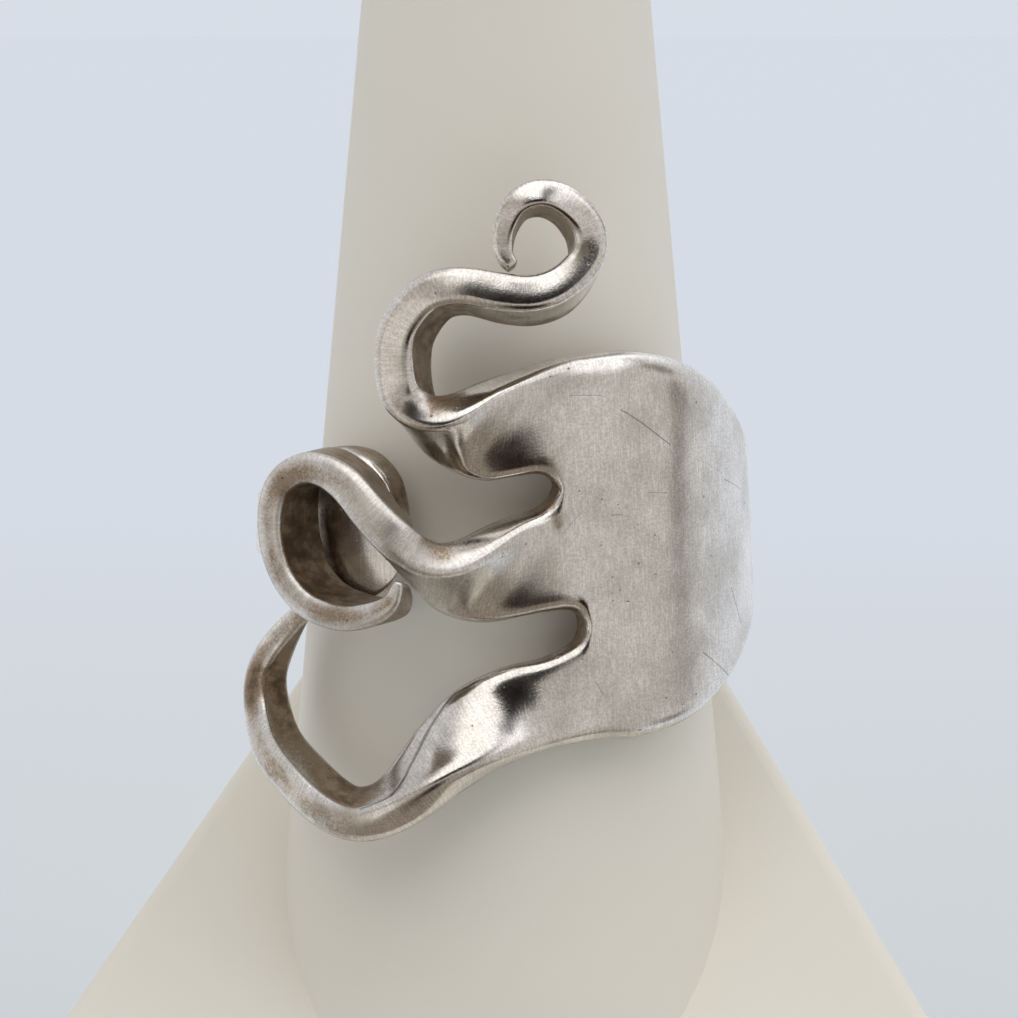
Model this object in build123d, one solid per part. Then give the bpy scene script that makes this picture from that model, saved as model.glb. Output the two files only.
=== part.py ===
from build123d import *
from math import cos, radians, sin, tan
import os

# A finger ring bent from a three-tined silver fork, standing on a plain ring cone.
# Millimetres. +Z is up, the floor is z = 0, and the ring's blade faces -Y.
# Azimuths are degrees round the ring's axis: 0 is the front, -Y, and 90 is +X.

# Ring: driving dimensions
finger_radius = 9.35
stock = 1.65
blade_half = 8.15
stem_half = 1.9
tongue_half = 3.6
blade_taper = 0.04
tine_depth = 2.75
slit_width = 1.3
slit_clearance = 0.6
slit_margin = 3.3
edge_rounding = 0.4

# Stand: driving dimensions
cone_radius = 8.45
cone_taper = 0.094
cone_tip_height = 72.0
cone_tip_rounding = 3.0
foot_width = 56.4
foot_back_width = 36.0
foot_depth = 40.0
foot_peak_height = 40.0
foot_top_height = 37.0
foot_edge_rounding = 0.8

# Where the ring sits on the cone
ring_height = 34.0
ring_turn = 3.0
ring_forward = 0.5

mid_radius = finger_radius + stock / 2

# The strap from the tines' root round the right side and the back to the rounded end.
# Heights are shares of the half-height that each table is named for, thickness of stock.
# Columns: azimuth, top, bottom, thickness
BLADE = [
    (10.0, 0.99, -0.93, 0.86),
    (22.0, 1.05, -0.97, 1.00),
    (33.0, 1.045, -0.96, 1.00),
    (44.0, 1.00, -0.925, 1.00),
    (56.0, 0.895, -0.82, 1.00),
    (68.0, 0.71, -0.68, 1.00),
    (82.0, 0.49, -0.50, 1.00),
]
STEM = [
    (100.0, 1.45, -1.45, 1.00),
    (125.0, 1.15, -1.15, 1.00),
    (160.0, 1.00, -1.00, 1.00),
    (200.0, 0.95, -0.95, 1.00),
    (240.0, 0.85, -0.85, 0.92),
    (270.0, 0.80, -0.72, 0.85),
]
TONGUE = [
    (286.0, 0.47, -0.30, 0.88),
    (299.0, 0.95, -0.44, 0.93),
    (309.0, 1.13, -0.52, 0.97),
    (319.0, 1.25, -0.66, 1.00),
    (326.5, 1.27, -0.64, 0.98),
    (331.8, 1.20, -0.50, 0.94),
    (335.3, 0.98, -0.25, 0.86),
    (337.8, 0.70, 0.05, 0.72),
]

# A row for each section of a tine, which runs between its near edge, the one that ends
# up facing out, and its far edge, which stays by the finger. Azimuths are degrees,
# heights shares of blade_half, rises shares of tine_depth, thickness a share of stock.
# Columns: near azimuth, near height, near rise, far azimuth, far height, far rise, thickness
TOP_TINE = [
    (24.0, 1.02, 0.00, 24.0, 0.455, 0.00, 0.94),
    (15.0, 1.025, 0.00, 15.0, 0.45, 0.00, 1.00),
    (9.0, 1.00, 0.04, 8.5, 0.43, -0.04, 1.00),
    (3.5, 0.95, 0.15, 2.5, 0.42, -0.10, 1.00),
    (-3.4, 0.885, 0.35, -5.0, 0.42, -0.12, 1.00),
    (-10.0, 0.80, 0.65, -11.5, 0.50, -0.12, 1.00),
    (-15.2, 0.78, 0.88, -17.5, 0.62, -0.12, 1.00),
    (-19.7, 0.86, 1.00, -21.5, 0.765, -0.12, 1.02),
    (-21.1, 1.035, 1.03, -22.6, 0.965, -0.10, 1.00),
    (-20.0, 1.21, 1.05, -21.3, 1.135, -0.08, 0.98),
    (-14.8, 1.375, 1.06, -15.3, 1.29, -0.04, 0.96),
    (-7.9, 1.42, 1.06, -7.9, 1.325, -0.03, 0.95),
    (-0.3, 1.39, 1.06, 0.5, 1.28, 0.00, 0.95),
    (6.1, 1.385, 1.06, 7.9, 1.27, 0.03, 0.94),
    (12.0, 1.45, 1.06, 14.4, 1.325, 0.08, 0.90),
    (16.6, 1.585, 1.05, 18.9, 1.475, 0.15, 0.86),
    (16.1, 1.73, 1.03, 18.3, 1.625, 0.22, 0.82),
    (12.0, 1.84, 1.02, 13.7, 1.75, 0.30, 0.76),
    (7.3, 1.88, 1.00, 8.3, 1.80, 0.38, 0.70),
    (2.6, 1.83, 0.97, 3.4, 1.77, 0.45, 0.62),
    (0.2, 1.71, 0.92, 0.6, 1.66, 0.53, 0.54),
    (0.2, 1.585, 0.90, 0.4, 1.545, 0.57, 0.44),
    (2.0, 1.51, 0.90, 2.2, 1.485, 0.64, 0.30),
]
MIDDLE_TINE = [
    (24.0, 0.29, 0.00, 24.0, -0.275, 0.00, 0.94),
    (15.0, 0.29, 0.00, 15.0, -0.275, 0.00, 1.00),
    (9.0, 0.265, 0.05, 9.0, -0.275, -0.04, 1.00),
    (3.1, 0.22, 0.22, 2.5, -0.30, -0.10, 1.00),
    (-2.2, 0.155, 0.48, -4.5, -0.305, -0.12, 1.00),
    (-6.9, 0.085, 0.76, -10.5, -0.27, -0.10, 1.00),
    (-11.0, 0.055, 1.02, -14.6, -0.20, -0.02, 1.00),
    (-14.8, 0.085, 1.30, -16.8, -0.10, 0.18, 1.00),
    (-18.3, 0.175, 1.54, -21.3, 0.055, 0.40, 1.00),
    (-22.5, 0.29, 1.56, -25.9, 0.23, 0.46, 0.97),
    (-27.0, 0.41, 1.49, -32.1, 0.39, 0.41, 0.92),
    (-32.2, 0.475, 1.45, -38.2, 0.46, 0.36, 0.84),
    (-37.6, 0.468, 1.45, -42.9, 0.45, 0.36, 0.78),
    (-42.2, 0.37, 1.48, -46.5, 0.36, 0.40, 0.76),
    (-43.6, 0.215, 1.50, -46.5, 0.215, 0.42, 0.76),
    (-42.9, 0.045, 1.49, -45.3, 0.05, 0.41, 0.75),
    (-40.4, -0.105, 1.46, -42.1, -0.10, 0.38, 0.74),
    (-35.6, -0.22, 1.44, -36.2, -0.215, 0.36, 0.72),
    (-28.2, -0.263, 1.47, -27.0, -0.26, 0.40, 0.68),
    (-22.0, -0.222, 1.57, -21.0, -0.23, 0.60, 0.62),
    (-18.0, -0.135, 1.65, -18.5, -0.17, 0.90, 0.50),
]
LOWER_TINE = [
    (26.0, -0.94, 0.00, 26.0, -0.435, 0.00, 0.94),
    (17.0, -0.97, 0.00, 17.0, -0.435, 0.00, 1.00),
    (11.0, -0.985, 0.07, 8.6, -0.515, -0.03, 1.00),
    (4.2, -1.02, 0.24, 0.3, -0.56, -0.10, 1.00),
    (-2.2, -1.06, 0.50, -9.5, -0.68, -0.12, 1.00),
    (-8.5, -1.13, 0.74, -17.0, -0.87, -0.10, 1.00),
    (-12.6, -1.19, 0.88, -21.0, -1.03, -0.07, 1.00),
    (-19.6, -1.295, 1.00, -27.0, -1.23, -0.03, 1.00),
    (-27.0, -1.355, 1.04, -33.9, -1.30, 0.02, 0.98),
    (-34.7, -1.31, 1.04, -40.6, -1.265, 0.03, 0.95),
    (-44.5, -1.185, 0.95, -50.2, -1.155, 0.02, 0.92),
    (-54.8, -1.05, 0.80, -61.3, -1.06, -0.02, 0.88),
    (-63.3, -0.87, 0.62, -67.5, -0.90, 0.00, 0.82),
    (-65.5, -0.72, 0.55, -68.5, -0.75, 0.01, 0.76),
    (-62.5, -0.575, 0.44, -65.5, -0.60, -0.03, 0.68),
    (-57.8, -0.45, 0.28, -62.0, -0.455, -0.08, 0.58),
    (-54.2, -0.37, 0.16, -58.6, -0.375, -0.08, 0.50),
    (-51.4, -0.305, 0.08, -55.6, -0.31, -0.08, 0.42),
]

# The closed ends of the two slits, and how far each side opens towards the tines' tips, in
# degrees. The height is a share of blade_half.
# Columns: azimuth, height, upper flare, lower flare
SLITS = [
    (11.7, 0.36, 20, 62),
    (17.8, -0.355, 12, 38),
]


def outward(azimuth):
    """The level direction away from the ring's axis at an azimuth."""
    return Vector(sin(radians(azimuth)), -cos(radians(azimuth)), 0)


def strap_section(near, far, along, thickness):
    """A bar's rounded cross-section between two edge points, square to its run."""
    across = near - far
    plane = Plane(origin=(near + far) / 2, x_dir=across, z_dir=across.cross(along).cross(across))
    rounding = edge_rounding * min(across.length, thickness)
    return plane * RectangleRounded(across.length, thickness, rounding)


def ring_point(azimuth, height, rise):
    """A point beside the strap's middle surface, which opens a little towards the floor."""
    reach = mid_radius - blade_taper * height + rise
    return outward(azimuth) * reach + Vector(0, 0, height)


def strap():
    """The blade, the stem and the rounded end as one band round the finger."""
    sections = []
    for rows, half in ((BLADE, blade_half), (STEM, stem_half), (TONGUE, tongue_half)):
        for azimuth, top, bottom, thickness in rows:
            upper = ring_point(azimuth, top * half, 0)
            lower = ring_point(azimuth, bottom * half, 0)
            around = Vector(0, 0, 1).cross(outward(azimuth))
            sections.append(strap_section(upper, lower, around, thickness * stock))
    return loft(sections)


def tine(rows):
    """A tine that twists on edge and scrolls, lofted between its near and far edges."""
    near_edge = []
    far_edge = []
    for near_azimuth, near_height, near_rise, far_azimuth, far_height, far_rise, _ in rows:
        near_edge.append(
            ring_point(near_azimuth, near_height * blade_half, near_rise * tine_depth)
        )
        far_edge.append(ring_point(far_azimuth, far_height * blade_half, far_rise * tine_depth))
    sections = []
    for index, row in enumerate(rows):
        before = max(index - 1, 0)
        after = min(index + 1, len(rows) - 1)
        along = near_edge[after] - near_edge[before] + far_edge[after] - far_edge[before]
        sections.append(strap_section(near_edge[index], far_edge[index], along, row[-1] * stock))
    return loft(sections)


def slit(azimuth, height, upper_flare, lower_flare):
    """The radial cutter of one slit, from its round closed end to the blade's end."""
    root = slit_width / 2
    reach = mid_radius * radians(azimuth - BLADE[0][0]) - root + slit_clearance
    mouth = Polygon(
        (0, root),
        (-reach, root + reach * tan(radians(upper_flare))),
        (-reach, -root - reach * tan(radians(lower_flare))),
        (0, -root),
        align=None,
    )
    face = Plane(
        origin=outward(azimuth) * (finger_radius - slit_margin) + Vector(0, 0, height * blade_half),
        x_dir=Vector(0, 0, 1).cross(outward(azimuth)),
        z_dir=outward(azimuth),
    )
    return extrude(face * Pos(-root, 0) * (mouth + Circle(root)), stock + 2 * slit_margin)


def silver_ring():
    """The whole ring in its place on the cone."""
    ring = strap() + tine(TOP_TINE) + tine(MIDDLE_TINE) + tine(LOWER_TINE)
    for row in SLITS:
        ring -= slit(*row)
    seat = Pos(0, 0, ring_height) * Rot(0, 0, ring_turn) * Pos(0, -ring_forward, 0)
    return seat * ring


def foot_level(height):
    """The foot's outline at a height, which shrinks towards the peak above its back edge."""
    share = 1 - height / foot_peak_height
    front = foot_depth / 2 - foot_depth * share
    outline = Polyline(
        (-foot_width / 2 * share, front),
        (foot_width / 2 * share, front),
        (foot_back_width / 2 * share, foot_depth / 2),
        (-foot_back_width / 2 * share, foot_depth / 2),
        close=True,
    )
    return Pos(0, 0, height) * make_face(outline)


def display_cone():
    """The tapered finger and the leaning pyramid that it stands through as a foot."""
    foot_radius = cone_radius + cone_taper * ring_height
    tip_radius = cone_radius - cone_taper * (cone_tip_height - ring_height)
    profile = make_face(
        Polyline(
            (0, 0, 0),
            (foot_radius, 0, 0),
            (tip_radius, 0, cone_tip_height),
            (0, 0, cone_tip_height),
            close=True,
        )
    )
    finger = revolve(profile, Axis.Z)
    rim = finger.edges().group_by(Axis.Z)[-1]
    finger = fillet(rim, cone_tip_rounding)

    foot = loft([foot_level(0), foot_level(foot_top_height)], ruled=True)
    raised = foot.edges().filter_by(lambda edge: edge.center().Z > foot_edge_rounding)
    foot = fillet(raised, foot_edge_rounding)
    return finger + foot


os.makedirs("parts", exist_ok=True)
for name, shape in (("silver_ring", silver_ring()), ("display_cone", display_cone())):
    shape.label = name
    export_step(shape, f"parts/{name}.step")
    print(name, round(shape.volume, 1), shape.bounding_box().size, len(shape.solids()), shape.is_valid)
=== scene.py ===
"""A finger ring bent from a silver fork, on a plain cream ring cone, in a soft studio light."""

import logging
import math
from dataclasses import dataclass, field
from enum import Enum
from typing import NamedTuple

import bmesh
import bpy
from mathutils import Matrix, Vector, noise
from mathutils.bvhtree import BVHTree
from mathutils.geometry import interpolate_bezier


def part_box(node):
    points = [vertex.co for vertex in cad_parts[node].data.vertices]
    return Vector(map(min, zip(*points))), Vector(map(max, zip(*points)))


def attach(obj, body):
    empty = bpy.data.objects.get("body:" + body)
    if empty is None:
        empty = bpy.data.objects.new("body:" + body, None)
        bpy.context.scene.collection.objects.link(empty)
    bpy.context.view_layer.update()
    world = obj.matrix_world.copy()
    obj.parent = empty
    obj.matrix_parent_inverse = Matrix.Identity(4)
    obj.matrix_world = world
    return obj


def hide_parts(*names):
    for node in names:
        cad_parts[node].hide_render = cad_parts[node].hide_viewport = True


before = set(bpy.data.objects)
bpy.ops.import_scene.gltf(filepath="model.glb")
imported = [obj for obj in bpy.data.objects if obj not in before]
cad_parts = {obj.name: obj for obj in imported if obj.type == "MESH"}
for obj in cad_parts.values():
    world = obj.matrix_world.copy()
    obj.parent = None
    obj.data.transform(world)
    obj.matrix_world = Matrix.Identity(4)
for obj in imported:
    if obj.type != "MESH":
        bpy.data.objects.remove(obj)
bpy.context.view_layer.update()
MM = 0.001
BODY = "root"
SOFT = {"interpolation_type": "SMOOTHSTEP"}

Colour = tuple[float, float, float, float]
Tree = bpy.types.NodeTree
Socket = bpy.types.NodeSocket
log = logging.getLogger("fork_ring")


def linear(code: str, strength: float = 1.0) -> Colour:
    """Turns an sRGB hex colour to a linear one.

    Args:
        code: The colour as six hex digits.
        strength: What the linear colour is multiplied by.

    Returns:
        The linear colour with an alpha of one.
    """
    shares = [int(code[start:start + 2], 16) / 255 for start in (0, 2, 4)]
    light = [s / 12.92 if s <= 0.04045 else ((s + 0.055) / 1.055) ** 2.4 for s in shares]
    return (light[0] * strength, light[1] * strength, light[2] * strength, 1.0)


def add_node(tree: Tree, kind: str, inputs: dict | None = None, **settings: object) -> bpy.types.Node:
    """Adds a node with its settings and links.

    Args:
        tree: The tree that the node goes into.
        kind: The node's type name.
        inputs: A value or an output socket for each input, by its name or number.
        settings: The node's own options.

    Returns:
        The new node.
    """
    node = tree.nodes.new(kind)
    for name, value in settings.items():
        setattr(node, name, value)
    for socket, value in (inputs or {}).items():
        if isinstance(value, Socket):
            tree.links.new(value, node.inputs[socket])
        else:
            node.inputs[socket].default_value = value
    return node


def smooth_line(points: list[Vector], steps: int) -> list[Vector]:
    """Draws a smooth line through points, as a bent strip of metal runs.

    Args:
        points: The points that the line passes through.
        steps: How many steps lie between two of them.

    Returns:
        The points of the smooth line, the given ones among them.
    """
    line = [points[0]]
    for index in range(len(points) - 1):
        start, end = points[index], points[index + 1]
        before = points[index - 1] if index else start + (start - end)
        after = points[index + 2] if index + 2 < len(points) else end + (end - start)
        span = interpolate_bezier(
            start, start + (end - before) / 6, end - (after - start) / 6, end, steps + 1
        )
        line.extend(span[1:])
    return line


class StrapRow(NamedTuple):
    """A cross-section of the strap: heights are shares of its stretch's half-height."""

    azimuth: float
    top: float
    bottom: float
    thickness: float


class TineRow(NamedTuple):
    """A cross-section of a tine, between its near edge and its far edge.

    The near edge ends up facing out and the far edge stays by the finger. Azimuths are
    degrees, heights shares of the blade's half-height, rises shares of the tine's rise.
    """

    near_azimuth: float
    near_height: float
    near_rise: float
    far_azimuth: float
    far_height: float
    far_rise: float
    thickness: float


class Stretch(Enum):
    """The stretches of the strap, each with its own half-height in millimetres."""

    BLADE = 8.15
    STEM = 1.9
    TONGUE = 3.6


STRAP = {
    Stretch.TONGUE: [
        StrapRow(337.8, 0.22, 0.02, 0.72),
        StrapRow(336.2, 0.40, -0.22, 0.84),
        StrapRow(333.6, 0.86, -0.42, 0.90),
        StrapRow(330.0, 1.08, -0.56, 0.96),
        StrapRow(325.5, 1.20, -0.64, 0.98),
        StrapRow(319.0, 1.23, -0.66, 1.00),
        StrapRow(309.0, 1.13, -0.52, 0.97),
        StrapRow(299.0, 0.95, -0.44, 0.93),
        StrapRow(286.0, 0.47, -0.30, 0.88),
    ],
    Stretch.STEM: [
        StrapRow(270.0, 0.80, -0.72, 0.85),
        StrapRow(240.0, 0.85, -0.85, 0.92),
        StrapRow(200.0, 0.95, -0.95, 1.00),
        StrapRow(160.0, 1.00, -1.00, 1.00),
        StrapRow(125.0, 1.15, -1.15, 1.00),
        StrapRow(100.0, 1.45, -1.45, 1.00),
    ],
    Stretch.BLADE: [
        StrapRow(82.0, 0.49, -0.50, 1.00),
        StrapRow(68.0, 0.71, -0.68, 1.00),
        StrapRow(56.0, 0.895, -0.82, 1.00),
        StrapRow(44.0, 1.00, -0.925, 1.00),
        StrapRow(33.0, 1.045, -0.96, 1.00),
        StrapRow(28.0, 1.05, -0.965, 1.00),
    ],
}
TOP_TINE = [
    TineRow(24.0, 1.045, 0.00, 24.0, 0.455, 0.00, 1.00),
    TineRow(17.8, 1.035, 0.00, 17.8, 0.45, 0.00, 1.00),
    TineRow(11.7, 1.015, 0.02, 11.7, 0.44, -0.02, 1.00),
    TineRow(3.5, 0.95, 0.15, 2.5, 0.42, -0.10, 1.00),
    TineRow(-3.4, 0.885, 0.35, -5.0, 0.42, -0.12, 1.00),
    TineRow(-10.0, 0.80, 0.65, -11.5, 0.50, -0.12, 1.00),
    TineRow(-15.2, 0.78, 0.88, -17.5, 0.62, -0.12, 1.00),
    TineRow(-19.7, 0.86, 1.00, -21.5, 0.765, -0.12, 1.02),
    TineRow(-21.1, 1.035, 1.03, -22.6, 0.965, -0.10, 1.00),
    TineRow(-20.0, 1.21, 1.05, -21.3, 1.135, -0.08, 0.98),
    TineRow(-14.8, 1.375, 1.06, -15.3, 1.29, -0.04, 0.96),
    TineRow(-7.9, 1.42, 1.06, -7.9, 1.325, -0.03, 0.95),
    TineRow(-0.3, 1.39, 1.06, 0.5, 1.28, 0.00, 0.95),
    TineRow(6.1, 1.385, 1.06, 7.9, 1.27, 0.03, 0.94),
    TineRow(12.0, 1.45, 1.06, 14.4, 1.325, 0.08, 0.90),
    TineRow(16.6, 1.585, 1.05, 18.9, 1.475, 0.15, 0.86),
    TineRow(16.1, 1.73, 1.03, 18.3, 1.625, 0.22, 0.82),
    TineRow(12.0, 1.84, 1.02, 13.7, 1.75, 0.30, 0.76),
    TineRow(7.3, 1.88, 1.00, 8.3, 1.80, 0.38, 0.70),
    TineRow(2.6, 1.83, 0.97, 3.4, 1.77, 0.45, 0.62),
    TineRow(0.2, 1.71, 0.92, 0.6, 1.66, 0.53, 0.54),
    TineRow(0.2, 1.585, 0.90, 0.4, 1.545, 0.57, 0.44),
    TineRow(2.0, 1.51, 0.90, 2.2, 1.485, 0.64, 0.30),
]
MIDDLE_TINE = [
    TineRow(24.0, 0.29, 0.00, 24.0, -0.275, 0.00, 1.00),
    TineRow(17.8, 0.29, 0.00, 17.8, -0.275, 0.00, 1.00),
    TineRow(11.7, 0.275, 0.02, 11.7, -0.275, -0.02, 1.00),
    TineRow(3.1, 0.22, 0.22, 2.5, -0.30, -0.10, 1.00),
    TineRow(-2.2, 0.155, 0.48, -4.5, -0.305, -0.12, 1.00),
    TineRow(-6.9, 0.085, 0.76, -10.5, -0.27, -0.10, 1.00),
    TineRow(-11.0, 0.055, 1.02, -14.6, -0.20, -0.02, 1.00),
    TineRow(-14.8, 0.085, 1.30, -16.8, -0.10, 0.18, 1.00),
    TineRow(-18.3, 0.175, 1.54, -21.3, 0.055, 0.40, 1.00),
    TineRow(-22.5, 0.29, 1.56, -25.9, 0.23, 0.46, 0.97),
    TineRow(-27.0, 0.41, 1.49, -32.1, 0.39, 0.41, 0.92),
    TineRow(-32.2, 0.475, 1.45, -38.2, 0.46, 0.36, 0.84),
    TineRow(-37.6, 0.468, 1.45, -42.9, 0.45, 0.36, 0.78),
    TineRow(-42.2, 0.37, 1.48, -46.5, 0.36, 0.40, 0.76),
    TineRow(-43.6, 0.215, 1.50, -46.5, 0.215, 0.42, 0.76),
    TineRow(-42.9, 0.045, 1.49, -45.3, 0.05, 0.41, 0.75),
    TineRow(-40.4, -0.105, 1.46, -42.1, -0.10, 0.38, 0.74),
    TineRow(-35.6, -0.22, 1.44, -36.2, -0.215, 0.36, 0.72),
    TineRow(-28.2, -0.263, 1.47, -27.0, -0.26, 0.40, 0.68),
    TineRow(-22.0, -0.222, 1.57, -21.0, -0.23, 0.60, 0.62),
    TineRow(-18.2, -0.150, 1.64, -18.2, -0.185, 0.85, 0.48),
    TineRow(-16.6, -0.040, 1.66, -17.6, -0.085, 1.10, 0.22),
]
LOWER_TINE = [
    TineRow(24.0, -0.955, 0.00, 24.0, -0.435, 0.00, 1.00),
    TineRow(17.8, -0.965, 0.00, 17.8, -0.44, 0.00, 1.00),
    TineRow(11.0, -0.985, 0.07, 8.6, -0.515, -0.03, 1.00),
    TineRow(4.2, -1.02, 0.24, 0.3, -0.56, -0.10, 1.00),
    TineRow(-2.2, -1.06, 0.50, -9.5, -0.68, -0.12, 1.00),
    TineRow(-8.5, -1.13, 0.74, -17.0, -0.87, -0.10, 1.00),
    TineRow(-12.6, -1.19, 0.88, -21.0, -1.03, -0.07, 1.00),
    TineRow(-19.6, -1.295, 1.00, -27.0, -1.23, -0.03, 1.00),
    TineRow(-27.0, -1.355, 1.04, -33.9, -1.30, 0.02, 0.98),
    TineRow(-34.7, -1.31, 1.04, -40.6, -1.265, 0.03, 0.95),
    TineRow(-44.5, -1.185, 0.95, -50.2, -1.155, 0.02, 0.92),
    TineRow(-54.8, -1.05, 0.80, -61.3, -1.06, -0.02, 0.88),
    TineRow(-63.3, -0.87, 0.62, -67.5, -0.90, 0.00, 0.82),
    TineRow(-65.5, -0.72, 0.55, -68.5, -0.75, 0.01, 0.76),
    TineRow(-62.5, -0.575, 0.44, -65.5, -0.60, -0.03, 0.68),
    TineRow(-57.8, -0.45, 0.28, -62.0, -0.455, -0.08, 0.58),
    TineRow(-54.2, -0.37, 0.16, -58.6, -0.375, -0.08, 0.50),
    TineRow(-51.4, -0.305, 0.08, -55.6, -0.31, -0.08, 0.42),
]


class Scratch(NamedTuple):
    """A scratch in the silver, in millimetres on the flat fork: along, then across."""

    along_from: float
    across_from: float
    along_to: float
    across_to: float
    width: float
    depth: float


SCRATCHES = [
    Scratch(58.5, 6.10, 56.2, 4.50, 0.045, 1.0),
    Scratch(60.8, 6.85, 59.5, 6.70, 0.035, 0.8),
    Scratch(59.2, 1.75, 58.5, 1.72, 0.040, 0.9),
    Scratch(57.4, 2.60, 56.4, 2.50, 0.030, 0.6),
    Scratch(54.6, 3.70, 52.6, 2.90, 0.030, 0.5),
    Scratch(52.4, 2.65, 50.3, 2.00, 0.040, 0.8),
    Scratch(51.9, -2.10, 50.8, -3.80, 0.040, 1.0),
    Scratch(54.5, -4.55, 52.2, -6.00, 0.045, 0.9),
    Scratch(60.0, 2.40, 61.2, 1.10, 0.030, 0.4),
    Scratch(59.9, -5.20, 59.6, -5.75, 0.035, 0.6),
    Scratch(48.0, 5.00, 44.5, 3.90, 0.040, 0.8),
    Scratch(41.0, -1.00, 38.5, -1.90, 0.040, 0.7),
    Scratch(65.0, -3.95, 66.6, -4.75, 0.140, 0.9),
    Scratch(66.6, -4.75, 68.0, -5.65, 0.160, 1.0),
    Scratch(68.0, -5.65, 69.4, -6.75, 0.150, 1.0),
    Scratch(69.4, -6.75, 71.0, -7.05, 0.120, 0.8),
]


class Ramp(NamedTuple):
    """A soft turn of values: low becomes start, high becomes end, and it is held beyond them."""

    low: float
    high: float
    start: float = 0.0
    end: float = 1.0

    def inputs(self, value: Socket) -> dict[str, object]:
        """The inputs of the node that turns a value."""
        ends = {"From Min": self.low, "From Max": self.high, "To Min": self.start, "To Max": self.end}
        return {"Value": value, **ends}


class Speckle(NamedTuple):
    """A noise: how wide its patches are in millimetres, and how finely and roughly they break up."""

    size: float
    detail: float
    roughness: float

    def inputs(self, place: Socket, unit: float = 1.0) -> dict[str, object]:
        """The inputs of the noise at a place, in whose unit a millimetre is that long."""
        grade = {"Scale": 1 / (self.size * unit), "Detail": self.detail, "Roughness": self.roughness}
        return {"Vector": place, **grade}


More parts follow.
